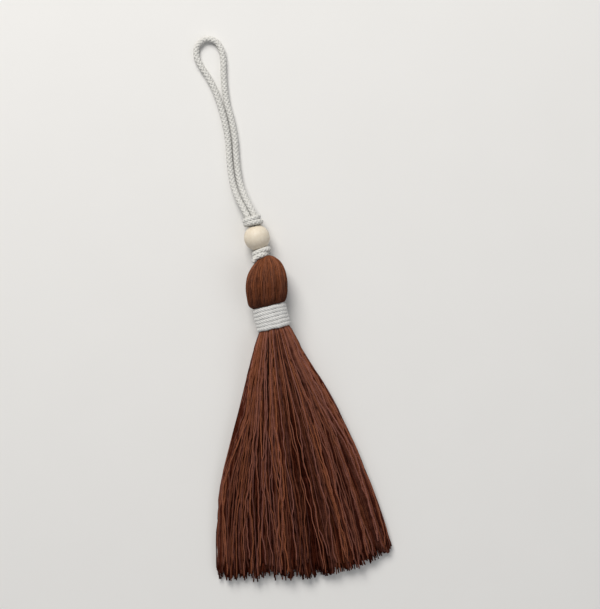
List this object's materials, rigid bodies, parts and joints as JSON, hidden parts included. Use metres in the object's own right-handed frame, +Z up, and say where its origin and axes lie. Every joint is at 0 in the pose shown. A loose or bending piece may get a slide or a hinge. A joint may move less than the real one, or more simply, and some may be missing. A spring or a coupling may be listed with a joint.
{
  "type": "beaded tassel",
  "caption": "Thread tassel with an egg-shaped head, cord-wrapped neck, fanned skirt, wooden bead and knotted hanging loop, lying flat.",
  "frame": {"origin": "on the surface that the tassel lies on, under the centre of its box without the hanging loop", "axes": "+Y from the skirt's cut ends towards the head and the hanging loop, +Z up from the surface, +X across the skirt"},
  "size_m": [0.069, 0.2137, 0.016],
  "materials": {
    "brown_thread": "fine brown thread with a soft sheen",
    "wrap_cord": "thin white cotton cord, matte",
    "hanging_cord": "white braided cotton cord, matte",
    "bead_wood": "pale natural wood, smooth and unvarnished"
  },
  "bodies": {
    "root": {"thread_bundle": "brown_thread", "neck_wrap": "wrap_cord", "bead": "bead_wood", "lower_knot": "hanging_cord", "upper_knot": "hanging_cord", "hanging_loop": "hanging_cord"}
  },
  "joints": []
}
